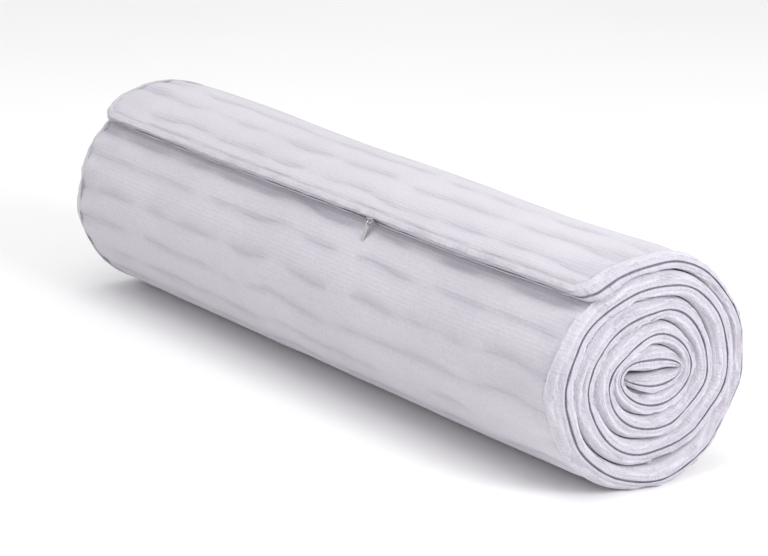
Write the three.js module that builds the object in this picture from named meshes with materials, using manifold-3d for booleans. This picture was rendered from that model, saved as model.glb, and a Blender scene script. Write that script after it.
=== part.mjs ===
// A foam mattress in its zipped cover, rolled up along its length and lying on its side.
// Millimetres, +Z up. The roll lies along X and rests on a flat spot at z = 0, under its middle.

import * as THREE from 'three';
import Module from 'manifold-3d';
import { mergeVertices } from 'three/addons/utils/BufferGeometryUtils.js';

const wasm = await Module();
wasm.setup();

// The mattress, flat, is 900 wide and about 2000 long. Rolled up, its foam is pressed thin.
const mattressWidth = 900;
const layerThickness = 24.8;
const layerGap = 1;
const cornerRadius = 16;

// The winding starts folded about a slit and ends at the front, above the middle of the roll.
// Angles run from +Y over the top to -Y, in degrees, and grow by 360 for each turn.
const startAngle = -165;
const endAngle = 1570;
const fullTurn = 360;
const slitHalfWidth = 30;
const slitHalfHeight = 0.8;
const climbFromTurn = 0.7;

// Both short ends of the mattress are squashed thinner than the rest.
const startThicknessShare = 0.5;
const startThinTurns = 0.5;
const endThicknessShare = 0.62;
const endThinTurns = 0.55;

// The outermost turn is drawn in over both ends of the roll, along most of a quarter oval.
const shoulderHeight = 28;
const shoulderLength = 40;
const shoulderSweep = 0.9;

// The lowest stretch is pressed flat by this much where the roll lies on the ground.
const flatSpotDepth = 3.4;

// Cross ribs of the cover: how far apart they are, and how deep the hollow after each one is.
const ribs = [
  { pitch: 34, depth: 1.5 },
  { pitch: 29, depth: 1.1 },
  { pitch: 37, depth: 1.7 },
  { pitch: 31, depth: 1.2 },
  { pitch: 36, depth: 1.4 },
];

// Profile of the border, from the edge of its groove out to the face of the mattress.
// share: part of the way from groove to face; setBack: how far it lies behind the border's crest.
const borderProfile = [
  { share: 0, setBack: 0 },
  { share: 0.45, setBack: 1.2 },
  { share: 0.8, setBack: 4.4 },
  { share: 1, setBack: 9.5 },
];

// The zip runs all the way round the border, sunk in a shallow groove.
const zipWidth = 7;
const zipThickness = 1.5;
const zipGrooveDepth = 2;
const zipClearance = 0.8;
const zipSideClearance = 1;
const grooveWallLean = 0.3;

// Steps of the shapes.
const innerStepAngle = 15;
const stepsPerRib = 4;
const cornerSteps = 4;
const lengthStepAngle = 1;

// The slider stands on the zip of the outer end, past the middle of its length.
const sliderAlong = 0.1 * mattressWidth;
const sliderLength = 12;
const sliderWidth = 8.4;
const sliderNoseWidth = 5;
const sliderPlate = 1.6;
const sliderChamfer = 1;
const bridgeHalfSpan = 3.6;
const bridgeWire = 1.4;
const bridgeHeight = 3.3;
const pullRingRadius = 3.3;
const pullRingHole = 1.9;
const pullRingSlack = 0.5;
const pullThickness = 1.4;
const pullWidth = 6.4;
const pullTipWidth = 4.6;
const pullLength = 19;
const pullChamfer = 1;
const pullLean = THREE.MathUtils.degToRad(26);
const pieceGap = 0.35;
const curveSteps = 4;
const ringSteps = 8;
const weldDistance = 1e-4;

// Colours are of the cover's knit cloth, of the zip and of its nickelled slider.
const coverFinish = new THREE.MeshStandardMaterial({ color: 0xd9d5dd, roughness: 0.9, metalness: 0 });
const zipFinish = new THREE.MeshStandardMaterial({ color: 0x8f8c99, roughness: 0.7, metalness: 0 });
const sliderFinish = new THREE.MeshStandardMaterial({ color: 0xc9cace, roughness: 0.35, metalness: 0.9 });

function eased(share) {
  const x = THREE.MathUtils.clamp(share, 0, 1);
  return x * x * (3 - 2 * x);
}

// Thickness of the rolled mattress at an angle of the winding.
function thicknessAt(angle) {
  const fromStart = (angle - startAngle) / (fullTurn * startThinTurns);
  const toEnd = (endAngle - angle) / (fullTurn * endThinTurns);
  const start = THREE.MathUtils.lerp(startThicknessShare, 1, eased(fromStart));
  const end = THREE.MathUtils.lerp(endThicknessShare, 1, eased(toEnd));
  return layerThickness * start * end;
}

// Half the height of the oval that the inner face of the mattress follows at an angle.
function innerRise(angle) {
  if (angle >= startAngle + fullTurn) {
    const under = angle - fullTurn;
    return innerRise(under) + thicknessAt(under) + layerGap;
  }
  const turns = (angle - startAngle) / fullTurn;
  const climb = eased((turns - climbFromTurn) / (1 - climbFromTurn));
  return slitHalfHeight + (thicknessAt(startAngle) + layerGap) * climb;
}

// A point of the winding seen from the end: across runs from -1, the inner face, to 1, the outer.
function windingPoint(angle, across, swell = 0) {
  const rise = innerRise(angle) + (thicknessAt(angle) * (across + 1)) / 2 + swell;
  const reach = Math.hypot(rise, slitHalfWidth);
  const turned = THREE.MathUtils.degToRad(angle);
  return new THREE.Vector2(reach * Math.cos(turned), rise * Math.sin(turned));
}

// Length of the mattress from its start to each angle, along the middle of its thickness.
const lengthTable = [{ angle: startAngle, length: 0 }];
for (let angle = startAngle + lengthStepAngle; angle <= endAngle; angle += lengthStepAngle) {
  const before = lengthTable[lengthTable.length - 1];
  const step = windingPoint(angle, 0).distanceTo(windingPoint(before.angle, 0));
  lengthTable.push({ angle, length: before.length + step });
}
const mattressLength = lengthTable[lengthTable.length - 1].length;

function lengthAt(angle) {
  const row = THREE.MathUtils.clamp((angle - startAngle) / lengthStepAngle, 0, lengthTable.length - 1);
  const low = lengthTable[Math.floor(row)];
  const high = lengthTable[Math.ceil(row)];
  return THREE.MathUtils.lerp(low.length, high.length, row - Math.floor(row));
}

function angleAt(length) {
  const high = lengthTable.findIndex((row) => row.length >= length);
  if (high < 0) {
    const last = lengthTable[lengthTable.length - 1];
    const before = lengthTable[lengthTable.length - 2];
    return last.angle + (length - last.length) * (lengthStepAngle / (last.length - before.length));
  }
  if (high === 0) {
    return startAngle;
  }
  const from = lengthTable[high - 1];
  const to = lengthTable[high];
  return THREE.MathUtils.mapLinear(length, from.length, to.length, from.angle, to.angle);
}

// The outermost turn seen from the end, before the flat spot is pressed into it: the box round
// it, and the radius of the circle about the box's middle that just holds it.
const outerFace = [];
for (let angle = endAngle - fullTurn; angle <= endAngle; angle += lengthStepAngle) {
  outerFace.push(windingPoint(angle, 1));
}
const outline = new THREE.Box2().setFromPoints(outerFace);
const rollMiddle = outline.getCenter(new THREE.Vector2());
const rollRadius = Math.max(...outerFace.map((point) => point.distanceTo(rollMiddle)));
const flatSpotLevel = outline.min.y + flatSpotDepth;

// How far an end of the roll is drawn in, at a point seen from the end.
function shoulderDrop(seen) {
  const depth = rollRadius - seen.distanceTo(rollMiddle);
  const over = shoulderSweep * THREE.MathUtils.clamp(1 - depth / shoulderHeight, 0, 1);
  return shoulderLength * (1 - Math.sqrt(1 - over * over));
}

// A point of the mattress: length along it, width from its middle, across its thickness.
function mattressPoint(length, width, across, swell = 0) {
  const seen = windingPoint(angleAt(length), across, swell);
  const x = Math.sign(width) * (Math.abs(width) - shoulderDrop(seen));
  return new THREE.Vector3(x, seen.x, Math.max(seen.y, flatSpotLevel));
}

// Stations go along one long side of the mattress, round half of each corner at both ends.
// turn is the angle of the border there: 0 along the side and 90 along a short end.
function borderStations() {
  const stations = [];
  for (let step = cornerSteps; step > 0; step -= 1) {
    stations.push({ length: cornerRadius, turn: (-Math.PI / 2) * (step / cornerSteps), hollow: 0 });
  }
  const ribbedFrom = endAngle - fullTurn - innerStepAngle;
  for (let angle = angleAt(cornerRadius); angle < ribbedFrom; angle += innerStepAngle) {
    stations.push({ length: lengthAt(angle), turn: 0, hollow: 0 });
  }
  const ribbedTo = mattressLength - cornerRadius;
  let length = lengthAt(ribbedFrom);
  let row = 0;
  while (length < ribbedTo) {
    const rib = ribs[row % ribs.length];
    for (let step = 0; step < stepsPerRib && length < ribbedTo; step += 1) {
      const hollow = (rib.depth / 2) * (1 - Math.cos((2 * Math.PI * step) / stepsPerRib));
      stations.push({ length, turn: 0, hollow });
      length += rib.pitch / stepsPerRib;
    }
    row += 1;
  }
  for (let step = 0; step <= cornerSteps; step += 1) {
    stations.push({ length: ribbedTo, turn: (Math.PI / 2) * (step / cornerSteps), hollow: 0 });
  }
  return stations;
}

// The point of the border at a station: setBack is how far it lies behind the border's crest.
function borderPoint(station, side, across, setBack, swell = 0) {
  const radius = cornerRadius - setBack;
  const length = station.length + radius * Math.sin(station.turn);
  const width = mattressWidth / 2 - cornerRadius + radius * Math.cos(station.turn);
  return mattressPoint(length, side * width, across, swell);
}

// Share of half the thickness at a station that a distance from its middle makes.
function shareOfHalf(station, distance) {
  return distance / (thicknessAt(angleAt(station.length)) / 2);
}

// A closed mesh from its points and, for each triangle, the places of its corners among them.
function geometryFrom(points, faces) {
  const positions = points.flatMap((point) => point.toArray());
  const geometry = new THREE.BufferGeometry();
  geometry.setAttribute('position', new THREE.Float32BufferAttribute(positions, 3));
  geometry.setIndex(faces);
  geometry.computeVertexNormals();
  return geometry;
}

// The whole mattress: a stack of closed outlines across its thickness, filled at both faces.
function mattressGeometry(stations) {
  const floorHalf = zipWidth / 2 + zipSideClearance;
  const mouthHalf = floorHalf + grooveWallLean;
  const outwards = [{ floor: true, setBack: zipGrooveDepth }, ...borderProfile];
  const levels = outwards.map((row) => ({ ...row, sign: -1 })).reverse();
  levels.push(...outwards.map((row) => ({ ...row, sign: 1 })));
  const top = levels.length - 1;

  const points = [];
  const faces = [];
  const count = stations.length;
  const pointIndex = (level, side, station) => (level * 2 + side) * count + station;
  // The corners of a quad go clockwise as seen from outside.
  const quad = (a, b, c, d) => faces.push(a, c, b, a, d, c);

  levels.forEach((row, level) => {
    for (const side of [1, -1]) {
      for (const station of stations) {
        const mouth = shareOfHalf(station, mouthHalf);
        const floor = shareOfHalf(station, floorHalf);
        const across = row.sign * (row.floor ? floor : THREE.MathUtils.lerp(mouth, 1, row.share));
        const swell = level === top ? -station.hollow : 0;
        points.push(borderPoint(station, side, across, row.setBack, swell));
      }
    }
  });

  for (let station = 0; station < count - 1; station += 1) {
    const next = station + 1;
    for (let level = 0; level < top; level += 1) {
      quad(
        pointIndex(level, 0, station),
        pointIndex(level, 0, next),
        pointIndex(level + 1, 0, next),
        pointIndex(level + 1, 0, station),
      );
      quad(
        pointIndex(level, 1, next),
        pointIndex(level, 1, station),
        pointIndex(level + 1, 1, station),
        pointIndex(level + 1, 1, next),
      );
    }
    quad(
      pointIndex(top, 0, station),
      pointIndex(top, 0, next),
      pointIndex(top, 1, next),
      pointIndex(top, 1, station),
    );
    quad(
      pointIndex(0, 0, next),
      pointIndex(0, 0, station),
      pointIndex(0, 1, station),
      pointIndex(0, 1, next),
    );
  }
  const last = count - 1;
  for (let level = 0; level < top; level += 1) {
    quad(
      pointIndex(level, 1, 0),
      pointIndex(level, 0, 0),
      pointIndex(level + 1, 0, 0),
      pointIndex(level + 1, 1, 0),
    );
    quad(
      pointIndex(level, 0, last),
      pointIndex(level, 1, last),
      pointIndex(level + 1, 1, last),
      pointIndex(level + 1, 0, last),
    );
  }
  return geometryFrom(points, faces);
}

// The zip: one closed band in the groove, round all four sides of the mattress.
function zipGeometry(stations) {
  const bottom = zipGrooveDepth - zipClearance;
  const corners = [
    { sign: -1, setBack: bottom },
    { sign: 1, setBack: bottom },
    { sign: 1, setBack: bottom - zipThickness },
    { sign: -1, setBack: bottom - zipThickness },
  ];
  const round = stations.map((station) => ({ station, side: 1 }));
  round.push(...stations.map((station) => ({ station, side: -1 })).reverse());

  const points = [];
  const faces = [];
  for (const { station, side } of round) {
    for (const corner of corners) {
      const across = corner.sign * shareOfHalf(station, zipWidth / 2);
      points.push(borderPoint(station, side, across, corner.setBack));
    }
  }
  const sides = corners.length;
  for (let place = 0; place < round.length; place += 1) {
    const next = (place + 1) % round.length;
    for (let corner = 0; corner < sides; corner += 1) {
      const beside = (corner + 1) % sides;
      const a = place * sides + corner;
      const b = place * sides + beside;
      const c = next * sides + beside;
      const d = next * sides + corner;
      faces.push(a, c, b, a, d, c);
    }
  }
  return geometryFrom(points, faces);
}

// Joins closed shapes into one solid.
function joined(geometries) {
  const solids = geometries.map((source) => {
    const geometry = source.clone();
    geometry.deleteAttribute('normal');
    geometry.deleteAttribute('uv');
    const merged = mergeVertices(geometry, weldDistance);
    const vertProperties = new Float32Array(merged.attributes.position.array);
    const triVerts = new Uint32Array(merged.index.array);
    return new wasm.Manifold(new wasm.Mesh({ numProp: 3, vertProperties, triVerts }));
  });
  const whole = solids.reduce((sum, solid) => sum.add(solid)).getMesh();
  const geometry = new THREE.BufferGeometry();
  geometry.setAttribute('position', new THREE.Float32BufferAttribute(whole.vertProperties, 3));
  geometry.setIndex(Array.from(whole.triVerts));
  geometry.computeVertexNormals();
  return geometry;
}

// The slider, in its own frame: X along the zip, Y across it, Z out of it, on the zip's face.
function sliderGeometry() {
  const half = sliderLength / 2;
  const outline = new THREE.Shape();
  outline.moveTo(-half, -sliderNoseWidth / 2);
  outline.quadraticCurveTo(-half / 4, -sliderWidth / 2, half / 2, -sliderWidth / 2);
  outline.lineTo(half, -sliderWidth / 2 + sliderChamfer);
  outline.lineTo(half, sliderWidth / 2 - sliderChamfer);
  outline.lineTo(half / 2, sliderWidth / 2);
  outline.quadraticCurveTo(-half / 4, sliderWidth / 2, -half, sliderNoseWidth / 2);
  outline.closePath();
  const plate = new THREE.ExtrudeGeometry(outline, {
    depth: sliderPlate,
    bevelEnabled: false,
    curveSegments: curveSteps,
  });

  const top = bridgeHeight + bridgeWire / 2;
  const foot = -sliderPlate / 2;
  const arch = new THREE.Shape();
  arch.moveTo(-bridgeHalfSpan - bridgeWire, foot);
  arch.lineTo(-bridgeHalfSpan - bridgeWire / 2, top - bridgeWire);
  arch.lineTo(-bridgeHalfSpan + bridgeWire / 2, top);
  arch.lineTo(bridgeHalfSpan - bridgeWire / 2, top);
  arch.lineTo(bridgeHalfSpan + bridgeWire / 2, top - bridgeWire);
  arch.lineTo(bridgeHalfSpan + bridgeWire, foot);
  arch.lineTo(bridgeHalfSpan - bridgeWire / 2, foot);
  arch.lineTo(bridgeHalfSpan - bridgeWire, top - bridgeWire);
  arch.lineTo(-bridgeHalfSpan + bridgeWire, top - bridgeWire);
  arch.lineTo(-bridgeHalfSpan + bridgeWire / 2, foot);
  arch.closePath();
  const bridge = new THREE.ExtrudeGeometry(arch, { depth: bridgeWire, bevelEnabled: false });
  bridge.translate(0, 0, -bridgeWire / 2);
  bridge.rotateX(Math.PI / 2);
  bridge.translate(0, 0, sliderPlate);
  return joined([plate, bridge]);
}

// The pull: a ring round the slider's bridge, and a flat tab that hangs from it.
function pullGeometry() {
  const ring = new THREE.Shape().absarc(0, 0, pullRingRadius, 0, 2 * Math.PI, false);
  ring.holes.push(new THREE.Path().absarc(0, 0, pullRingHole, 0, 2 * Math.PI, true));
  const loop = new THREE.ExtrudeGeometry(ring, {
    depth: pullThickness,
    bevelEnabled: false,
    curveSegments: ringSteps,
  });
  loop.translate(0, 0, -pullThickness / 2);
  loop.rotateY(Math.PI / 2);

  const neck = pullRingHole + (pullRingRadius - pullRingHole) / 2;
  const tab = new THREE.Shape();
  tab.moveTo(-pullThickness, neck);
  tab.lineTo(pullThickness, neck);
  tab.lineTo(pullWidth / 2, neck + pullWidth / 2);
  tab.lineTo(pullTipWidth / 2, pullLength - pullChamfer);
  tab.lineTo(pullTipWidth / 2 - pullChamfer, pullLength);
  tab.lineTo(-pullTipWidth / 2 + pullChamfer, pullLength);
  tab.lineTo(-pullTipWidth / 2, pullLength - pullChamfer);
  tab.lineTo(-pullWidth / 2, neck + pullWidth / 2);
  tab.closePath();
  const blade = new THREE.ExtrudeGeometry(tab, { depth: pullThickness, bevelEnabled: false });
  blade.translate(0, 0, -pullThickness / 2);
  blade.rotateX(Math.PI / 2);
  return joined([loop, blade]);
}

function placed(name, geometry, material) {
  const mesh = new THREE.Mesh(geometry, material);
  mesh.name = name;
  return mesh;
}

const stations = borderStations();
const mattress = placed('mattress_roll', mattressGeometry(stations), coverFinish);
const zip = placed('zip', zipGeometry(stations), zipFinish);

// The slider's frame on the outer end: X along the roll, Y outwards, Z out of the end's face.
const zipFace = zipThickness + zipClearance - zipGrooveDepth;
const zipShare = shareOfHalf(stations[stations.length - 1], zipWidth / 2);
const faceInner = mattressPoint(mattressLength, 0, -zipShare);
const faceOuter = mattressPoint(mattressLength, 0, zipShare);
const alongX = new THREE.Vector3(1, 0, 0);
const acrossFace = faceOuter.clone().sub(faceInner).normalize();
const outOfFace = new THREE.Vector3().crossVectors(alongX, acrossFace);
const sliderSeat = faceInner.clone().lerp(faceOuter, 0.5);
sliderSeat.addScaledVector(outOfFace, zipFace + pieceGap);
sliderSeat.x = sliderAlong;

const sliderTurn = new THREE.Matrix4().makeBasis(alongX, acrossFace, outOfFace);
const sliderFrame = new THREE.Group();
sliderFrame.position.copy(sliderSeat);
sliderFrame.quaternion.setFromRotationMatrix(sliderTurn);
sliderFrame.add(placed('zip_slider', sliderGeometry(), sliderFinish));

// The pull hangs from the slider's bridge down to the turn beneath, which keeps it leaning.
const pullHang = new THREE.Vector3(0, -Math.sin(pullLean), Math.cos(pullLean));
const pull = placed('zip_pull', pullGeometry(), sliderFinish.clone());
pull.position.set(0, 0, sliderPlate + bridgeHeight).addScaledVector(pullHang, pullRingSlack);
pull.rotation.x = pullLean;
sliderFrame.add(pull);

const roll = new THREE.Group();
roll.add(mattress, zip, sliderFrame);

const rolledMattress = new THREE.Group();
rolledMattress.add(roll);
const extent = new THREE.Box3().setFromObject(roll, true);
roll.position.set(-(extent.min.x + extent.max.x) / 2, -(extent.min.y + extent.max.y) / 2, -extent.min.z);

export default rolledMattress;
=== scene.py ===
import math

import bmesh
import bpy
import numpy as np
from mathutils import Matrix, Vector, noise


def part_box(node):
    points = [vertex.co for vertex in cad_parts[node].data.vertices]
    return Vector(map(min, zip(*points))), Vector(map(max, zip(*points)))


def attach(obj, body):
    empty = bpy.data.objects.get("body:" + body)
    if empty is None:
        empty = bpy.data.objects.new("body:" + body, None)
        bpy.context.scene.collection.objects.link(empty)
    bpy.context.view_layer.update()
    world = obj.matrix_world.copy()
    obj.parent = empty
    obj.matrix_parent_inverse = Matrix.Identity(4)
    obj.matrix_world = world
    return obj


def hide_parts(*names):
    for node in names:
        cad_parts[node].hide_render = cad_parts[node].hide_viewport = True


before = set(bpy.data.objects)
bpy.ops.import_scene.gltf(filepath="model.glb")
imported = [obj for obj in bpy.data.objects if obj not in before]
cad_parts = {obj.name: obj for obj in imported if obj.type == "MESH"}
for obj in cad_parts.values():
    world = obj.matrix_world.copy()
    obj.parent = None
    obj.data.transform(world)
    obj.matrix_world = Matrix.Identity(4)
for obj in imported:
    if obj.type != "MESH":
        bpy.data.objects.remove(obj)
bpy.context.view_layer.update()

# The winding. The mattress is pressed thin and rolled up from one short end round a flat slit.
# Its other short end stops at the front, above the middle of the roll. Angles run from the
# back over the top to the front, in degrees, and grow by a full turn each time round.
mattress_width = 0.900
layer_thickness = 0.0248
layer_gap = 0.001
corner_radius = 0.016
start_angle = -165.0
end_angle = 1570.0
full_turn = 360.0
slit_half_width = 0.030
slit_half_height = 0.0008
climb_from_turn = 0.7
start_thickness_share = 0.5
start_thin_turns = 0.5
end_thickness_share = 0.62
end_thin_turns = 0.55
shoulder_height = 0.028
shoulder_length = 0.040
shoulder_sweep = 0.9
flat_spot_depth = 0.0034


def eased(share):
    """Goes from 0 to 1 with a soft start and a soft end."""
    part = np.clip(share, 0.0, 1.0)
    return part * part * (3.0 - 2.0 * part)


def thickness_at(angle):
    """The pressed thickness, less towards both ends of the mattress."""
    from_start = eased((angle - start_angle) / (full_turn * start_thin_turns))
    to_end = eased((end_angle - angle) / (full_turn * end_thin_turns))
    start = start_thickness_share + (1.0 - start_thickness_share) * from_start
    end = end_thickness_share + (1.0 - end_thickness_share) * to_end
    return layer_thickness * start * end


def inner_rise(angle):
    """How far a turn's inner face stands off the slit: the slit, and every turn beneath."""
    under = np.array(angle, dtype=float)
    rise = np.zeros_like(under)
    while np.any(under >= start_angle + full_turn):
        covered = under >= start_angle + full_turn
        under = np.where(covered, under - full_turn, under)
        rise += np.where(covered, thickness_at(under) + layer_gap, 0.0)
    turns = (under - start_angle) / full_turn
    climb = eased((turns - climb_from_turn) / (1.0 - climb_from_turn))
    return rise + slit_half_height + (thickness_at(start_angle) + layer_gap) * climb


def seen_from_end(angle, across, swell):
    """A place on the winding. Across is -1 on the inner face of a turn and 1 on its outer face."""
    rise = inner_rise(angle) + thickness_at(angle) * (across + 1.0) / 2.0 + swell
    turned = np.radians(angle)
    return np.hypot(rise, slit_half_width) * np.cos(turned), rise * np.sin(turned)


turn_angles = np.arange(start_angle, end_angle + 1.0)
middle_y, middle_z = seen_from_end(turn_angles, 0.0, 0.0)
turn_steps = np.hypot(np.diff(middle_y), np.diff(middle_z))
turn_lengths = np.concatenate([[0.0], np.cumsum(turn_steps)])
mattress_length = turn_lengths[-1]


def angle_at(length):
    """The angle at a length along the mattress's middle."""
    within = np.clip(length, 0.0, mattress_length)
    beyond = np.where(length > within, 1.0 / turn_steps[-1], 1.0 / turn_steps[0])
    return np.interp(within, turn_lengths, turn_angles) + (length - within) * beyond


outer_y, outer_z = seen_from_end(turn_angles[turn_angles >= end_angle - full_turn], 1.0, 0.0)
roll_y = (outer_y.min() + outer_y.max()) / 2.0
roll_z = (outer_z.min() + outer_z.max()) / 2.0
roll_radius = np.hypot(outer_y - roll_y, outer_z - roll_z).max()
flat_spot_level = outer_z.min() + flat_spot_depth

# The turns don't lie quite flush at the ends, and the whole soft roll is a little uneven.
stagger_waves = (
    # size, pitch, late
    (0.0026, 0.410, 0.6),
    (0.0022, 0.173, 2.1),
    (0.0012, 0.071, 4.0),
)
quarter_turn = math.pi / 2.0
# along, across and up: how far a wave turns in a metre that way, in radians. late: where it starts.
slow_side_waves = (
    (6.1, 0.0, 0.0, 0.7),
    (0.0, 0.0, 13.0, quarter_turn + 2.0),
    (17.0, 9.0, 0.0, 0.0),
)
slow_rise_waves = (
    (7.3, 0.0, 0.0, quarter_turn + 2.2),
    (0.0, 12.0, 0.0, quarter_turn - 0.4),
    (15.0, -8.0, 0.0, 1.1),
)
quick_side_waves = ((5.0, 0.0, 78.0, 0.0), (0.0, 46.8, 0.0, quarter_turn + 1.0))
quick_rise_waves = ((0.0, 62.4, 0.0, 2.0), (-4.0, 0.0, 54.6, quarter_turn))
third_wave_share = 0.5
wander_free_height = 0.050
wander_size = 0.0018
buckle_size = 0.0016
buckle_reach = 0.116
buckle_fade = 0.060


def stagger(length, side):
    """How far the turns stand out at an end. The two ends differ."""
    return sum(
        size * np.sin(math.tau * length / pitch + late * (2.0 + side)) for size, pitch, late in stagger_waves
    )


def swings(points, waves):
    """The product of the first two waves, with a share of a third one added."""
    x, y, z = points.T
    first, second, *more = [
        np.sin(along * x + across * y + up * z + late) for along, across, up, late in waves
    ]
    return first * second + third_wave_share * sum(more)


def wander(points):
    """Moves the winding a little out of its true form, but not where it rests on the floor."""
    x, y, z = points.T
    free = eased(z / wander_free_height)
    buckle = buckle_size * eased((buckle_reach - np.hypot(y, z - buckle_reach)) / buckle_fade)
    side = wander_size * swings(points, slow_side_waves) + buckle * swings(points, quick_side_waves)
    rise = wander_size * swings(points, slow_rise_waves) + buckle * swings(points, quick_rise_waves)
    return points + np.stack([np.zeros_like(x), free * side, free * rise], axis=1)


def rolled(length, width, across, swell=0.0):
    """Takes a place in the flat mattress to its place in the roll."""
    y, z = seen_from_end(angle_at(length), across, swell)
    depth = roll_radius - np.hypot(y - roll_y, z - roll_z)
    over = shoulder_sweep * np.clip(1.0 - depth / shoulder_height, 0.0, 1.0)
    drop = shoulder_length * (1.0 - np.sqrt(1.0 - over * over))
    share = 2.0 * width / mattress_width
    near_end = eased(2.0 * np.abs(share) - 1.0)
    x = width - share * drop + stagger(length, np.sign(width)) * near_end
    z = np.maximum(z, flat_spot_level)
    return wander(np.stack([x, y - roll_y, z - flat_spot_level], axis=1))


# The mattress. A block of soft foam fills a knit cover whose border is gathered into folds where
# the foam is pressed. The border is sewn to the broad faces and its two lips nearly hide the zip.
corner_steps = 3
hidden_row_step = 6.0
shown_row_step = 2.25
hidden_margin = 40.0
edge_columns = (0.022, 0.030, 0.040, 0.052, 0.066, 0.082, 0.100)
column_pitch = 0.014
slider_along = 0.1 * mattress_width
slider_columns = (-0.026, -0.020, -0.014, -0.009, -0.004, 0.0, 0.004, 0.009, 0.014, 0.020, 0.026)

zip_mouth = 0.0042
border_from = 0.0056
face_set_back = 0.0095
# from_zip: distance from the zip's middle. share: part of the rest, out to the broad face.
# set_back: how far behind the border's crest. fold: how much of the folds it takes.
border_rows = np.array([
    # from_zip, share, set_back, fold
    (0.0040, 0.00, 0.0020, 0.0),
    (0.0041, 0.00, -0.0004, 0.0),
    (0.0014, 0.00, -0.0005, 0.0),
    (0.0009, 0.00, -0.0009, 0.1),
    (0.0015, 0.00, -0.0015, 0.3),
    (0.0029, 0.00, -0.0017, 0.4),
    (zip_mouth, 0.00, -0.0010, 0.1),
    (0.0049, 0.00, 0.0001, 0.0),
    (border_from, 0.00, -0.0003, 0.3),
    (border_from, 0.16, -0.0002, 0.8),
    (border_from, 0.32, 0.0006, 1.0),
    (border_from, 0.48, 0.0015, 1.0),
    (border_from, 0.64, 0.0028, 0.9),
    (border_from, 0.78, 0.0045, 0.6),
    (border_from, 0.87, 0.0068, 0.3),
    (border_from, 0.93, 0.0070, 0.2),
    (border_from, 1.00, face_set_back, 0.0),
])
first_lip_row = 2
last_lip_row = 5
lip_gape = 0.040
lip_parted = 0.0041
lip_flatten = 0.6

rib_pitches = np.array([0.034, 0.029, 0.037, 0.031, 0.036])
rib_depths = np.array([0.0015, 0.0011, 0.0017, 0.0012, 0.0014])
rib_start_back = 15.0
rib_wander = 0.0065
rib_wander_reach = (0.150, 0.075)
rib_fade = 1.7
rib_fade_reach = (0.045, 0.058)
rib_fade_start = 9.0
rib_faintest = 0.3
rib_plainest = 1.8
rib_round_share = 0.35
rib_sharp_share = 0.95
rib_sharpness = 4
crease_depth = 0.0011
crease_width = 0.35
crease_reach = (0.021, 0.110)
crease_start = 4.0
pleat_depth = 0.0042
pleat_more = 0.1
pleat_reach = (0.016, 0.070)
pleat_start = 3.0
pleats_from = 0.82
pleats_fade = 0.13
ribs_from = np.interp(end_angle - full_turn - rib_start_back, turn_angles, turn_lengths)
covered_to = np.interp(end_angle - full_turn, turn_angles, turn_lengths)


def row_lines():
    """Lines across the mattress, close together on the turn whose outer face shows."""
    corner = [corner_radius * step / corner_steps for step in range(corner_steps)]
    lines = list(corner)
    angle = float(angle_at(corner_radius))
    last = float(angle_at(mattress_length - corner_radius))
    shown_from = end_angle - full_turn
    while angle < last - shown_row_step / 2.0:
        lines.append(float(np.interp(angle, turn_angles, turn_lengths)))
        shown = float(eased((angle - shown_from + hidden_margin) / hidden_margin))
        angle += hidden_row_step + (shown_row_step - hidden_row_step) * shown
    lines.append(mattress_length - corner_radius)
    lines.extend(mattress_length - place for place in reversed(corner))
    return np.array(lines)


def column_lines():
    """Lines along the mattress, closer together at its edges and at the slider."""
    half = mattress_width / 2.0
    corner = [corner_radius * step / corner_steps for step in range(corner_steps + 1)]
    edge = [half - place for place in (*corner, *edge_columns)]
    inside = half - edge_columns[-1]
    count = int(round(2.0 * inside / column_pitch))
    middle = list(np.linspace(-inside, inside, count + 1)[1:-1])
    gap = abs(slider_columns[0]) + column_pitch / 3.0
    middle = [place for place in middle if abs(place - slider_along) > gap]
    middle.extend(slider_along + place for place in slider_columns)
    return np.array(sorted([*edge, *middle, *(-place for place in edge)]))


def in_plan(length, width, set_back):
    """Rounds the corners of the flat mattress and sets its edge back."""
    to_end = np.minimum(length, mattress_length - length)
    to_side = mattress_width / 2.0 - np.abs(width)
    u = np.clip((corner_radius - to_end) / corner_radius, 0.0, 1.0)
    v = np.clip((corner_radius - to_side) / corner_radius, 0.0, 1.0)
    squash = np.maximum(u, v) / np.maximum(np.hypot(u, v), 1e-9)
    radius = corner_radius - set_back
    to_end = np.where(u > 0.0, corner_radius - radius * u * squash, to_end)
    to_side = np.where(v > 0.0, corner_radius - radius * v * squash, to_side)
    new_length = np.where(length < mattress_length / 2.0, to_end, mattress_length - to_end)
    return new_length, np.sign(width) * (mattress_width / 2.0 - to_side)


def noise_at(*fields):
    """Smooth noise at places given as three lists of numbers."""
    return np.array([noise.noise(place) for place in zip(*(field.tolist() for field in fields))])


def ribs_at(length, width):
    """Counts the ribs that the cover is knitted in up to a place, and says how deep the valley
    between two ribs is there, and how plain. The ribs wander, and fade in and out."""
    nothing = 0.0 * width
    wavy = rib_wander * noise_at(length / rib_wander_reach[0], width / rib_wander_reach[1], nothing)
    turns, place = np.divmod(length - ribs_from + wavy, rib_pitches.sum())
    starts = np.concatenate([[0.0], np.cumsum(rib_pitches)])
    rib = np.clip(np.searchsorted(starts, place, side="right") - 1, 0, len(rib_pitches) - 1)
    count = turns * len(rib_pitches) + rib + (place - starts[rib]) / rib_pitches[rib]
    fading = noise_at(length / rib_fade_reach[0], width / rib_fade_reach[1] + rib_fade_start, nothing)
    strength = np.clip(1.0 + rib_fade * fading, rib_faintest, rib_plainest)
    return count, rib_depths[rib], strength


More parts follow.
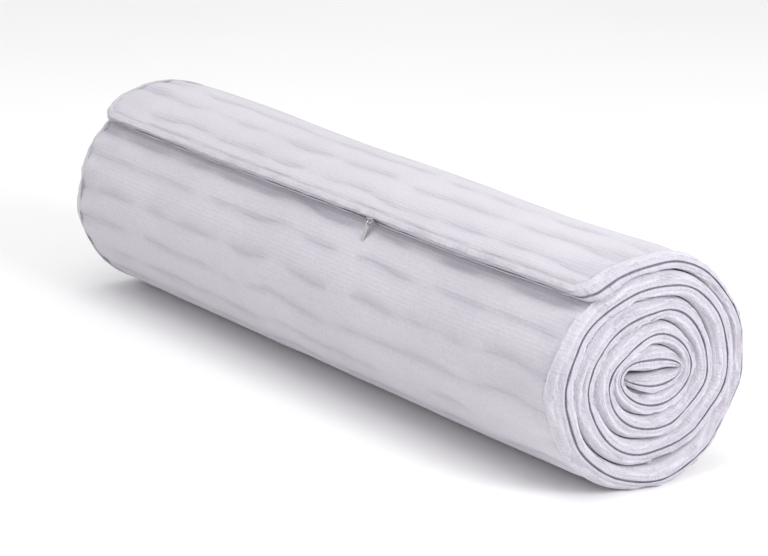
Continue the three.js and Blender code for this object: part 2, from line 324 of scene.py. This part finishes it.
def face_swell(length, width):
    """How far the outer face stands off its smooth form: ribs, creases, and pleats at the ends."""
    side = np.abs(width) / (mattress_width / 2.0)
    count, depth, strength = ribs_at(length, width)
    valley = 0.5 + 0.5 * np.cos(math.tau * count)
    hollow = depth * strength * (rib_round_share * valley + rib_sharp_share * valley ** rib_sharpness)
    crease = noise_at(length / crease_reach[0], width / crease_reach[1] + crease_start, 0.0 * width)
    hollow = hollow + crease_depth * np.clip(crease_width - np.abs(crease), 0.0, 1.0)
    pleat = noise_at(length / pleat_reach[0], pleat_start * np.sign(width), width / pleat_reach[1])
    near_end = eased((side - pleats_from) / pleats_fade)
    hollow = hollow + pleat_depth * np.clip(pleat + pleat_more, 0.0, 1.0) * near_end
    shown = eased((length - ribs_from) / (covered_to - ribs_from))
    return -hollow * shown


rows = row_lines()
columns = column_lines()
half_levels = len(border_rows)
levels = 2 * half_levels

mattress_mesh = bmesh.new()
bmesh.ops.create_grid(mattress_mesh, x_segments=len(rows) - 1, y_segments=len(columns) - 1, size=1.0)
bmesh.ops.translate(mattress_mesh, verts=mattress_mesh.verts[:], vec=(0.0, 0.0, -1.0))
block = bmesh.ops.extrude_face_region(mattress_mesh, geom=mattress_mesh.faces[:])
lifted = [part for part in block["geom"] if isinstance(part, bmesh.types.BMVert)]
bmesh.ops.translate(mattress_mesh, verts=lifted, vec=(0.0, 0.0, 2.0))
upright = [edge for edge in mattress_mesh.edges if abs(edge.verts[0].co.z - edge.verts[1].co.z) > 1.0]
bmesh.ops.subdivide_edges(mattress_mesh, edges=upright, cuts=levels - 2)
bmesh.ops.recalc_face_normals(mattress_mesh, faces=mattress_mesh.faces[:])
for face in mattress_mesh.faces:
    face.smooth = True


def finished(name, mesh):
    """Makes the object of a piece from its bmesh, which is then freed."""
    data = bpy.data.meshes.new(name)
    mesh.to_mesh(data)
    mesh.free()
    piece = bpy.data.objects.new(name, data)
    bpy.context.scene.collection.objects.link(piece)
    return piece


def places(piece):
    found = np.empty(len(piece.data.vertices) * 3)
    piece.data.vertices.foreach_get("co", found)
    return found.reshape(-1, 3)


def lay(piece, points):
    piece.data.vertices.foreach_set("co", points.ravel())
    piece.data.update()


def keep(piece, name, values):
    """Stores a measure on the piece's points, for its finish to read."""
    kind, part = ("FLOAT_VECTOR", "vector") if values.ndim == 2 else ("FLOAT", "value")
    stored = piece.data.attributes.new(name, kind, "POINT")
    stored.data.foreach_set(part, values.astype(np.float32).ravel())


mattress = finished("mattress", mattress_mesh)
grid_place = (places(mattress) + 1.0) / 2.0
length = rows[np.rint(grid_place[:, 0] * (len(rows) - 1)).astype(int)]
width = columns[np.rint(grid_place[:, 1] * (len(columns) - 1)).astype(int)]
level = np.rint(grid_place[:, 2] * (levels - 1)).astype(int)
outward = np.where(level >= half_levels, 1.0, -1.0)
row = np.where(outward > 0.0, level - half_levels, half_levels - 1 - level)
from_zip, share, set_back, fold = border_rows[row].T

at_slider = length > mattress_length - corner_radius / 2.0
gape = eased(1.0 - np.abs(width - slider_along) / lip_gape) * at_slider
is_lip = (row >= first_lip_row) & (row <= last_lip_row)
from_zip = np.where(is_lip, from_zip + (lip_parted - from_zip) * gape, from_zip)
set_back = np.where(is_lip, set_back * (1.0 - lip_flatten * gape), set_back)

deep_fold = 0.0034
deep_fold_raise = 0.6
deep_fold_reach = (0.030, 0.0042)
deep_fold_width = 3.0
fine_fold = 0.0020
fine_fold_reach = (0.011, 0.006)
fine_fold_start = 7.0
end_fold_share = 0.55
corner_seam_depth = 0.0009
hollow_full = 0.002
touching = 1e-6

half_thickness = thickness_at(angle_at(length)) / 2.0
through = from_zip + share * (half_thickness - from_zip)
on_border = fold > 0.0
folds = np.zeros_like(fold)
bent = [part[on_border] for part in (length, width, outward * through)]
deep = noise_at(bent[0] / deep_fold_reach[0], bent[1] / deep_fold_reach[0], bent[2] / deep_fold_reach[1])
fine = noise_at(
    bent[0] / fine_fold_reach[0],
    bent[1] / fine_fold_reach[0],
    bent[2] / fine_fold_reach[1] + fine_fold_start,
)
folds[on_border] = deep_fold * (deep_fold_raise - deep_fold_width * np.abs(deep)) + fine_fold * fine
to_end = np.minimum(length, mattress_length - length)
folds = np.where(to_end < corner_radius / 2.0, end_fold_share * folds, folds)
at_corner = (to_end < touching) & (np.abs(width) > mattress_width / 2.0 - touching)
set_back = set_back - fold * folds + corner_seam_depth * (at_corner & on_border)

is_face = row == half_levels - 1
outer_face = is_face & (outward > 0.0) & (length > ribs_from)
swell = np.zeros_like(length)
swell[outer_face] = face_swell(length[outer_face], width[outer_face])
flat_length, flat_width = in_plan(length, width, set_back)
lay(mattress, rolled(flat_length, flat_width, outward * through / half_thickness, swell))
keep(mattress, "cloth", np.stack([flat_length, flat_width, outward * through], axis=1))
keep(mattress, "border", np.where(is_face, 1.0, share))
ribs = np.zeros((len(length), 3))
count, depth, strength = ribs_at(length[outer_face], width[outer_face])
ribs[outer_face] = np.stack([count, strength, depth], axis=1)
keep(mattress, "ribs", ribs)
# Painted shade: how deep the face's rib valleys and the border's folds sink, kept for the cover's finish,
# which darkens its colour there.
sunk_face = np.clip(-swell / hollow_full, 0.0, 1.0)
sunk_border = np.clip(-folds / hollow_full, 0.0, 1.0) * fold
keep(mattress, "hollow", sunk_face + sunk_border)


def new_finish(name):
    finish = bpy.data.materials.new(name)
    finish.use_nodes = True
    return finish, finish.node_tree, finish.node_tree.nodes["Principled BSDF"]


def add(tree, kind, inputs=None, **settings):
    """Adds a node, sets its settings, and sets or links its inputs."""
    node = tree.nodes.new(kind)
    for name, value in settings.items():
        setattr(node, name, value)
    for name, value in (inputs or {}).items():
        if isinstance(value, bpy.types.NodeSocket):
            tree.links.new(value, node.inputs[name])
        else:
            node.inputs[name].default_value = value
    return node


def ramp(tree, factor, stops):
    """A colour ramp from (place, colour) stops."""
    node = add(tree, "ShaderNodeValToRGB", {"Fac": factor})
    while len(node.color_ramp.elements) < len(stops):
        node.color_ramp.elements.new(1.0)
    for element, (place, colour) in zip(node.color_ramp.elements, stops):
        element.position = place
        element.color = (*colour, 1.0)
    return node.outputs["Color"]


def mixed(tree, factor, first, second, blend="MIX"):
    node = add(tree, "ShaderNodeMix", data_type="RGBA", blend_type=blend)
    for socket, value in ((node.inputs[0], factor), (node.inputs[6], first), (node.inputs[7], second)):
        if isinstance(value, bpy.types.NodeSocket):
            tree.links.new(value, socket)
        elif isinstance(value, tuple):
            socket.default_value = (*value, 1.0)
        else:
            socket.default_value = value
    return node.outputs[2]


def bands(tree, vector, direction, pitch, distortion=0.0):
    """Parallel bands of a given pitch, in metres."""
    return add(
        tree,
        "ShaderNodeTexWave",
        {"Vector": vector, "Scale": math.tau / 20.0 / pitch, "Distortion": distortion, "Detail Scale": 2.0},
        bands_direction=direction,
    ).outputs["Fac"]


def bump(tree, height, distance, strength=1.0, normal=None):
    inputs = {"Height": height, "Distance": distance, "Strength": strength}
    if normal is not None:
        inputs["Normal"] = normal
    return add(tree, "ShaderNodeBump", inputs).outputs["Normal"]


def grey(level):
    return (level, level, level)


# The cloth's own colour lies between cover_dull and cover_clear, in random patches. cover_shaded and the seam
# colour are painted shade, laid into the cloth's hollows, rib valleys and seams.
cover_dull = (0.605, 0.578, 0.64)
cover_clear = (0.655, 0.628, 0.69)
cover_shaded = (0.50, 0.475, 0.545)
cover_seam_shade = (0.47, 0.45, 0.53)
cross_rib_pitch = 0.0042
wale_pitch = 0.0016
knit_depth = 0.0003
valley_depth = 0.0012
pucker_depth = 0.0035
pucker_scale = (150.0, 150.0, 45.0)

cover_finish, tree, shader = new_finish("knit_cover")
cloth = add(tree, "ShaderNodeAttribute", attribute_name="cloth").outputs["Vector"]
hollow = add(tree, "ShaderNodeAttribute", attribute_name="hollow").outputs["Fac"]
border = add(tree, "ShaderNodeAttribute", attribute_name="border").outputs["Fac"]
ribs = add(tree, "ShaderNodeAttribute", attribute_name="ribs").outputs["Vector"]
patches = add(tree, "ShaderNodeTexNoise", {"Vector": cloth, "Scale": 9.0, "Detail": 4.0}).outputs["Fac"]
yarn = add(tree, "ShaderNodeTexNoise", {"Vector": cloth, "Scale": 380.0, "Detail": 2.0}).outputs["Fac"]
colour = ramp(tree, patches, [(0.3, cover_dull), (0.7, cover_clear)])
# Painted shade: the colour darkens towards cover_shaded in the rib valleys and fold hollows.
shade = ramp(tree, hollow, [(0.1, grey(0.0)), (1.0, grey(0.4))])
colour = mixed(tree, shade, colour, cover_shaded)
ribs = add(tree, "ShaderNodeSeparateXYZ", {"Vector": ribs}).outputs
rib_share = add(tree, "ShaderNodeMath", {0: ribs["X"]}, operation="FRACT").outputs[0]
valley_half = [(0.0, grey(1.0)), (0.05, grey(0.6)), (0.14, grey(0.1))]
valley_stops = [*valley_half, *((1.0 - place, level) for place, level in reversed(valley_half))]
valley = ramp(tree, rib_share, valley_stops)
plain = ramp(tree, ribs["Y"], [(0.4, grey(0.0)), (1.0, grey(1.0))])
valley = mixed(tree, 1.0, valley, plain, blend="MULTIPLY")
# Painted shade: the colour darkens again along the sharp rib valleys.
shade = ramp(tree, valley, [(0.1, grey(0.0)), (1.0, grey(0.38))])
colour = mixed(tree, shade, colour, cover_shaded)
# Painted shade: the colour darkens where the lips turn into the zip's mouth and along the seam to the broad
# faces.
zip_mouth_shade = [(0.0, grey(0.6)), (0.06, grey(0.1)), (0.84, grey(0.0))]
face_seam_shade = [(0.89, grey(0.55)), (0.95, grey(0.0))]
colour = mixed(tree, ramp(tree, border, [*zip_mouth_shade, *face_seam_shade]), colour, cover_seam_shade)
yarn_shade = ramp(tree, yarn, [(0.3, grey(0.72)), (0.7, grey(1.0))])
colour = mixed(tree, 0.35, colour, yarn_shade, blend="MULTIPLY")
tree.links.new(colour, shader.inputs["Base Color"])
cross_ribs = bands(tree, cloth, "X", cross_rib_pitch, 2.0)
wales = bands(tree, cloth, "Y", wale_pitch, 0.6)
knit = add(tree, "ShaderNodeMath", {0: cross_ribs, 1: wales}, operation="ADD").outputs[0]
rib_height = ramp(tree, valley, [(0.0, grey(1.0)), (1.0, grey(0.0))])
squeezed = add(tree, "ShaderNodeMapping", {"Vector": cloth, "Scale": pucker_scale}).outputs["Vector"]
pucker = add(tree, "ShaderNodeTexNoise", {"Vector": squeezed, "Scale": 1.0, "Detail": 2.0}).outputs["Fac"]
puckered = ramp(tree, border, [(0.0, grey(1.0)), (0.8, grey(0.7)), (0.97, grey(0.0))])
pucker = mixed(tree, puckered, grey(0.5), pucker)
normal = bump(tree, rib_height, valley_depth, 0.8)
normal = bump(tree, knit, knit_depth, 0.7, normal)
normal = bump(tree, yarn, knit_depth, 0.6, normal)
normal = bump(tree, pucker, pucker_depth, 0.8, normal)
tree.links.new(normal, shader.inputs["Normal"])
shader.inputs["Roughness"].default_value = 0.92
shader.inputs["Sheen Weight"].default_value = 0.25
shader.inputs["Sheen Roughness"].default_value = 0.6
shader.inputs["Specular IOR Level"].default_value = 0.25

mattress.data.materials.append(cover_finish)
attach(mattress, "root")
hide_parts("mattress_roll")

# The zip. Two woven tapes and a nylon chain run round the whole border, under the cover's lips.
# The tapes are sewn to the cover from inside, and the chain's two rows of coils mesh between them.
station_length = np.concatenate([
    rows,
    np.full(len(columns), mattress_length),
    rows[::-1],
    np.zeros(len(columns)),
])
station_width = np.concatenate([
    np.full(len(rows), mattress_width / 2.0),
    columns[::-1],
    np.full(len(rows), -mattress_width / 2.0),
    columns,
])
crest_length, crest_width = in_plan(station_length, station_width, 0.0)
inner_length, inner_width = in_plan(station_length, station_width, corner_radius / 2.0)
crest_run = np.concatenate([[0.0], np.cumsum(np.hypot(np.diff(crest_length), np.diff(crest_width)))])
out_length = (crest_length - inner_length) / (corner_radius / 2.0)
out_width = (crest_width - inner_width) / (corner_radius / 2.0)
border_length = crest_run[-1]
ring_radius = border_length / math.tau


def along_border(run, through, out):
    """Points on the border: run round it, through the thickness, and out from its crest."""
    length = np.interp(run, crest_run, crest_length) + out * np.interp(run, crest_run, out_length)
    width = np.interp(run, crest_run, crest_width) + out * np.interp(run, crest_run, out_width)
    half = thickness_at(angle_at(length)) / 2.0
    return rolled(length, width, through / half)


def lay_along_border(piece):
    """Lays a piece on the border that was made as a ring of the border's length."""
    x, y, z = places(piece).T
    run = np.mod(np.arctan2(y, x), math.tau) * ring_radius
    out = np.hypot(x, y) - ring_radius
    lay(piece, along_border(run, -z, out))
    keep(piece, "along", np.stack([run, -z, out], axis=1))


tape_half_width = 0.0034
tape_top = -0.0004
tape_bottom = -0.0012
tape_steps = 1600


def extruded_ring(mesh, edges, through, out):
    """Extrudes a ring's edges to another place through the thickness and out of the border."""
    made = bmesh.ops.extrude_edge_only(mesh, edges=edges)["geom"]
    verts = [part for part in made if isinstance(part, bmesh.types.BMVert)]
    radius = math.hypot(verts[0].co.x, verts[0].co.y)
    growth = (ring_radius + out) / radius
    bmesh.ops.scale(mesh, verts=verts, vec=(growth, growth, 1.0))
    bmesh.ops.translate(mesh, verts=verts, vec=(0.0, 0.0, through - verts[0].co.z))
    return [part for part in made if isinstance(part, bmesh.types.BMEdge)]


tape_mesh = bmesh.new()
tape_radius = ring_radius + tape_bottom
first = bmesh.ops.create_circle(tape_mesh, cap_ends=False, radius=tape_radius, segments=tape_steps)
bmesh.ops.translate(tape_mesh, verts=first["verts"], vec=(0.0, 0.0, -tape_half_width))
first_edges = tape_mesh.edges[:]
last_edges = extruded_ring(tape_mesh, first_edges, tape_half_width, tape_bottom)
last_edges = extruded_ring(tape_mesh, last_edges, tape_half_width, tape_top)
last_edges = extruded_ring(tape_mesh, last_edges, -tape_half_width, tape_top)
bmesh.ops.bridge_loops(tape_mesh, edges=[*first_edges, *last_edges])
bmesh.ops.recalc_face_normals(tape_mesh, faces=tape_mesh.faces[:])
tape = finished("zip_tape", tape_mesh)
lay_along_border(tape)

tape_finish, tree, shader = new_finish("zip_tape_weave")
along = add(tree, "ShaderNodeAttribute", attribute_name="along").outputs["Vector"]
weave_run = bands(tree, along, "X", 0.0011, 0.6)
weave_through = bands(tree, along, "Y", 0.0009, 0.4)
weave = add(tree, "ShaderNodeMath", {0: weave_run, 1: weave_through}, operation="MULTIPLY").outputs[0]
faded = add(tree, "ShaderNodeTexNoise", {"Vector": along, "Scale": 60.0, "Detail": 3.0}).outputs["Fac"]
colour = ramp(tree, faded, [(0.3, (0.19, 0.185, 0.22)), (0.7, (0.26, 0.25, 0.29))])
colour = mixed(tree, weave, colour, (0.32, 0.31, 0.36))
tree.links.new(colour, shader.inputs["Base Color"])
tree.links.new(bump(tree, weave, 0.0002, 0.8), shader.inputs["Normal"])
shader.inputs["Roughness"].default_value = 0.8
shader.inputs["Sheen Weight"].default_value = 0.15
tape.data.materials.append(tape_finish)
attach(tape, "root")
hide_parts("zip")

coil_count = 4096
coil_reach = 0.0022
coil_wire = 0.0009
coil_height = 0.0007
coil_taper = 0.6
coil_centre = 0.4


def ring_of_copies(mesh, count):
    """Repeats what the mesh holds round a ring. The count is a power of two."""
    made = 1
    while made < count:
        copy = bmesh.ops.duplicate(mesh, geom=[*mesh.verts, *mesh.edges, *mesh.faces])["geom"]
        verts = [part for part in copy if isinstance(part, bmesh.types.BMVert)]
        turn = Matrix.Rotation(math.tau * made / count, 3, "Z")
        bmesh.ops.rotate(mesh, verts=verts, cent=(0.0, 0.0, 0.0), matrix=turn)
        made *= 2


def small_bar(mesh, size, centre, taper):
    """A bar with a narrowed top: size along the ring, through it and out of it."""
    made = bmesh.ops.create_cube(mesh, size=1.0)["verts"]
    bmesh.ops.scale(mesh, verts=made, vec=(size[2], size[0], size[1]))
    top = [vert for vert in made if vert.co.x > 0.0]
    bmesh.ops.scale(mesh, verts=top, vec=(1.0, taper, taper))
    bmesh.ops.translate(mesh, verts=made, vec=(ring_radius + centre[2], 0.0, centre[1]))
    turn = Matrix.Rotation(centre[0] / ring_radius, 3, "Z")
    bmesh.ops.rotate(mesh, verts=made, cent=(0.0, 0.0, 0.0), matrix=turn)


chain_mesh = bmesh.new()
coil_pitch = border_length / coil_count
coil_size = (coil_wire, coil_reach, coil_height)
coil_side = coil_centre * coil_reach
coil_out = tape_top + coil_centre * coil_height
small_bar(chain_mesh, coil_size, (0.0, coil_side, coil_out), coil_taper)
small_bar(chain_mesh, coil_size, (coil_pitch / 2.0, -coil_side, coil_out), coil_taper)
ring_of_copies(chain_mesh, coil_count)
bmesh.ops.recalc_face_normals(chain_mesh, faces=chain_mesh.faces[:])
chain = finished("zip_chain", chain_mesh)
lay_along_border(chain)

chain_finish, tree, shader = new_finish("zip_nylon")
along = add(tree, "ShaderNodeAttribute", attribute_name="along").outputs["Vector"]
worn = add(tree, "ShaderNodeTexNoise", {"Vector": along, "Scale": 220.0, "Detail": 2.0}).outputs["Fac"]
colour = ramp(tree, worn, [(0.3, (0.24, 0.235, 0.27)), (0.7, (0.34, 0.33, 0.37))])
tree.links.new(colour, shader.inputs["Base Color"])
tree.links.new(bump(tree, worn, 0.0001, 0.4), shader.inputs["Normal"])
shader.inputs["Roughness"].default_value = 0.42
chain.data.materials.append(chain_finish)
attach(chain, "root")
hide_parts("zip")

# The stitching. A row of lockstitch on each side of the zip holds the cover's lips to the tapes.
# The thread is plain white polyester, pulled down into the cloth.
stitch_count = 2048
stitch_length = 0.0022
stitch_thread = 0.0005
stitch_through = 0.0049
stitch_out = 0.0001
stitch_taper = 0.7
stitch_late = 0.0009

stitch_mesh = bmesh.new()
stitch_size = (stitch_length, stitch_thread, stitch_thread)
small_bar(stitch_mesh, stitch_size, (0.0, stitch_through, stitch_out), stitch_taper)
small_bar(stitch_mesh, stitch_size, (stitch_late, -stitch_through, stitch_out), stitch_taper)
ring_of_copies(stitch_mesh, stitch_count)
bmesh.ops.recalc_face_normals(stitch_mesh, faces=stitch_mesh.faces[:])
stitches = finished("zip_stitches", stitch_mesh)
lay_along_border(stitches)

thread_finish, tree, shader = new_finish("white_thread")
along = add(tree, "ShaderNodeAttribute", attribute_name="along").outputs["Vector"]
twist = bands(tree, along, "DIAGONAL", 0.0006)
colour = ramp(tree, twist, [(0.2, (0.54, 0.525, 0.57)), (0.8, (0.69, 0.67, 0.71))])
tree.links.new(colour, shader.inputs["Base Color"])
tree.links.new(bump(tree, twist, 0.0001, 0.6), shader.inputs["Normal"])
shader.inputs["Roughness"].default_value = 0.6
stitches.data.materials.append(thread_finish)
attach(stitches, "root")

# The slider. A small die-cast body of nickel-plated zinc straddles the chain on the outer end of
# the mattress, and a bridge stands on it for the pull.
slider_length = 0.012
slider_width = 0.0084
slider_nose_width = 0.005
slider_nose_from = 0.3
slider_plate = 0.0016
slider_rounding = 0.0004
slider_cuts = 5
bridge_radius = 0.0033
bridge_wire = 0.0007
bridge_foot = 0.7 * slider_plate
bridge_steps = 14
wire_sides = 10
slider_lift = 0.00065
seat_reach = 0.003
sharp_angle = 0.8

on_outer_end = crest_length > mattress_length - touching
slider_run = float(np.interp(-slider_along, -crest_width[on_outer_end], crest_run[on_outer_end]))


def border_spot(run, through, out):
    return Vector(along_border(np.array([run]), np.array([through]), np.array([out]))[0])


def bevelled(mesh, edges, offset, segments):
    bmesh.ops.bevel(
        mesh,
        geom=edges,
        offset=offset,
        offset_type="OFFSET",
        affect="EDGES",
        segments=segments,
        profile=0.5,
        material=-1,
    )


slider_middle = float(np.mean([corner.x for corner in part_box("zip_slider")]))
slider_run -= slider_middle - border_spot(slider_run, 0.0, 0.0).x
seat = border_spot(slider_run, 0.0, slider_lift)
along_zip = border_spot(slider_run - seat_reach, 0.0, 0.0) - border_spot(slider_run + seat_reach, 0.0, 0.0)
along_zip.normalize()
over_zip = border_spot(slider_run, seat_reach, 0.0) - border_spot(slider_run, -seat_reach, 0.0)
over_zip.normalize()
out_of_zip = along_zip.cross(over_zip).normalized()
over_zip = out_of_zip.cross(along_zip)
seat_place = Matrix((along_zip, over_zip, out_of_zip)).transposed().to_4x4()
seat_place.translation = seat

slider_mesh = bmesh.new()
bmesh.ops.create_cube(slider_mesh, size=1.0)
long_edges = [edge for edge in slider_mesh.edges if abs(edge.verts[0].co.x - edge.verts[1].co.x) > 0.5]
bmesh.ops.subdivide_edges(slider_mesh, edges=long_edges, cuts=slider_cuts)
for vert in slider_mesh.verts:
    toward_nose = float(eased(slider_nose_from - vert.co.x))
    half_width = slider_width + (slider_nose_width - slider_width) * toward_nose
    vert.co = (vert.co.x * slider_length, vert.co.y * half_width, (vert.co.z + 0.5) * slider_plate)
plate_edges = [edge for edge in slider_mesh.edges if edge.calc_face_angle(0.0) > sharp_angle]
bevelled(slider_mesh, plate_edges, slider_rounding, 2)
wire = bmesh.ops.create_circle(slider_mesh, cap_ends=False, radius=bridge_wire, segments=wire_sides)["verts"]
bmesh.ops.translate(slider_mesh, verts=wire, vec=(bridge_radius, 0.0, bridge_foot))
wire_set = set(wire)
wire_edges = [edge for edge in slider_mesh.edges if wire_set.issuperset(edge.verts)]
bmesh.ops.spin(
    slider_mesh,
    geom=[*wire, *wire_edges],
    cent=(0.0, 0.0, bridge_foot),
    axis=(0.0, -1.0, 0.0),
    angle=math.pi,
    steps=bridge_steps,
)
open_edges = [edge for edge in slider_mesh.edges if edge.is_boundary]
bmesh.ops.holes_fill(slider_mesh, edges=open_edges, sides=wire_sides)
bmesh.ops.recalc_face_normals(slider_mesh, faces=slider_mesh.faces[:])
for face in slider_mesh.faces:
    face.smooth = True
bmesh.ops.transform(slider_mesh, matrix=seat_place, verts=slider_mesh.verts[:])
slider = finished("slider_body", slider_mesh)

nickel_finish, tree, shader = new_finish("nickel_plate")
position = add(tree, "ShaderNodeTexCoord").outputs["Object"]
rubbed = add(tree, "ShaderNodeTexNoise", {"Vector": position, "Scale": 350.0, "Detail": 3.0}).outputs["Fac"]
colour = ramp(tree, rubbed, [(0.3, (0.60, 0.60, 0.61)), (0.7, (0.72, 0.72, 0.73))])
tree.links.new(colour, shader.inputs["Base Color"])
tree.links.new(ramp(tree, rubbed, [(0.3, grey(0.38)), (0.7, grey(0.22))]), shader.inputs["Roughness"])
tree.links.new(bump(tree, rubbed, 0.00002, 0.15), shader.inputs["Normal"])
shader.inputs["Metallic"].default_value = 1.0
slider.data.materials.append(nickel_finish)
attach(slider, "root")
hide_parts("zip_slider")

# The pull. A flat stamped tab with a shallow panel hangs by its ring from the slider's bridge and
# lies against the turn of the mattress beneath it.
pull_ring_radius = 0.0026
pull_ring_wire = 0.0007
pull_ring_steps = 24
pull_slack = 0.0005
pull_width = 0.0064
pull_tip_width = 0.0046
pull_thickness = 0.0014
pull_length = 0.019
pull_lean = math.radians(26.0)
pull_corner = 0.0016
pull_corner_steps = 5
pull_rim = 0.0009
pull_panel_depth = 0.0003
pull_edge = 0.00025
pull_sharp_angle = 1.2
most_side_corners = 8

pull_mesh = bmesh.new()
wire = bmesh.ops.create_circle(pull_mesh, cap_ends=False, radius=pull_ring_wire, segments=wire_sides)["verts"]
bmesh.ops.translate(pull_mesh, verts=wire, vec=(0.0, pull_ring_radius, 0.0))
bmesh.ops.spin(
    pull_mesh,
    geom=[*wire, *pull_mesh.edges],
    cent=(0.0, 0.0, 0.0),
    axis=(1.0, 0.0, 0.0),
    angle=math.tau,
    steps=pull_ring_steps,
    use_merge=True,
)
tab = bmesh.ops.create_cube(pull_mesh, size=1.0)["verts"]
tab_top = pull_ring_radius - pull_ring_wire / 2.0
for vert in tab:
    at_tip = vert.co.z > 0.0
    side_width = pull_tip_width if at_tip else pull_width
    height = pull_length if at_tip else tab_top
    vert.co = (vert.co.x * side_width, vert.co.y * pull_thickness, height)
tab_set = set(tab)
tab_edges = [edge for edge in pull_mesh.edges if tab_set.issuperset(edge.verts)]
corner_edges = [edge for edge in tab_edges if abs(edge.verts[0].co.y - edge.verts[1].co.y) > pull_rim]
bevelled(pull_mesh, corner_edges, pull_corner, pull_corner_steps)
bmesh.ops.recalc_face_normals(pull_mesh, faces=pull_mesh.faces[:])
broad_faces = [face for face in pull_mesh.faces if len(face.verts) > most_side_corners]
bmesh.ops.inset_individual(pull_mesh, faces=broad_faces, thickness=pull_rim, depth=-pull_panel_depth)
sharp_edges = [edge for edge in pull_mesh.edges if edge.calc_face_angle(0.0) > pull_sharp_angle]
bevelled(pull_mesh, sharp_edges, pull_edge, 2)
for face in pull_mesh.faces:
    face.smooth = True
hang = Vector((0.0, -math.sin(pull_lean), math.cos(pull_lean)))
pull_place = Matrix.Translation(Vector((0.0, 0.0, slider_plate + bridge_radius)) + hang * pull_slack)
pull_place = seat_place @ pull_place @ Matrix.Rotation(pull_lean, 4, "X")
bmesh.ops.transform(pull_mesh, matrix=pull_place, verts=pull_mesh.verts[:])
pull = finished("slider_pull", pull_mesh)
pull.data.materials.append(nickel_finish)
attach(pull, "root")
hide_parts("zip_pull")

# The studio. A plain pale floor, soft light from above and from one side under a pale sky, and the camera.
floor_reach = 12.0
sky_strength = 0.74

floor_mesh = bmesh.new()
bmesh.ops.create_grid(floor_mesh, x_segments=4, y_segments=4, size=floor_reach)
floor = finished("floor", floor_mesh)
floor_finish, tree, shader = new_finish("pale_floor")
position = add(tree, "ShaderNodeTexCoord").outputs["Object"]
cloudy = add(tree, "ShaderNodeTexNoise", {"Vector": position, "Scale": 1.5, "Detail": 2.0}).outputs["Fac"]
tree.links.new(ramp(tree, cloudy, [(0.3, grey(0.94)), (0.7, grey(0.96))]), shader.inputs["Base Color"])
shader.inputs["Roughness"].default_value = 0.8
floor.data.materials.append(floor_finish)

world = bpy.data.worlds.new("studio")
world.use_nodes = True
sky = world.node_tree.nodes["Background"]
sky.inputs["Color"].default_value = (1.0, 0.995, 1.0, 1.0)
sky.inputs["Strength"].default_value = sky_strength
bpy.context.scene.world = world
bpy.context.scene.view_settings.view_transform = "Standard"


def soft_light(name, place, aim, size, power):
    lamp = bpy.data.lights.new(name, "AREA")
    lamp.shape = "SQUARE"
    lamp.size = size
    lamp.energy = power
    holder = bpy.data.objects.new(name, lamp)
    holder.location = place
    holder.rotation_euler = (Vector(aim) - Vector(place)).to_track_quat("-Z", "Y").to_euler()
    bpy.context.scene.collection.objects.link(holder)


soft_light("top_light", (0.0, -0.5, 3.0), (0.0, 0.0, 0.0), 2.2, 33.0)
soft_light("side_light", (2.4, 0.3, 1.4), (0.4, 0.0, 0.1), 1.1, 38.0)

camera_azimuth = math.radians(53.7)
camera_elevation = math.radians(17.2)
camera_distance = 3.52
camera_aim = Vector((0.0, 0.0, 0.105))
camera_lens = 152.0

camera_data = bpy.data.cameras.new("camera")
camera_data.lens = camera_lens
camera_data.clip_end = 50.0
camera = bpy.data.objects.new("camera", camera_data)
toward = Vector((
    math.sin(camera_azimuth) * math.cos(camera_elevation),
    -math.cos(camera_azimuth) * math.cos(camera_elevation),
    math.sin(camera_elevation),
))
camera.location = camera_aim + toward * camera_distance
camera.rotation_euler = (-toward).to_track_quat("-Z", "Y").to_euler()
bpy.context.scene.collection.objects.link(camera)
bpy.context.scene.camera = camera
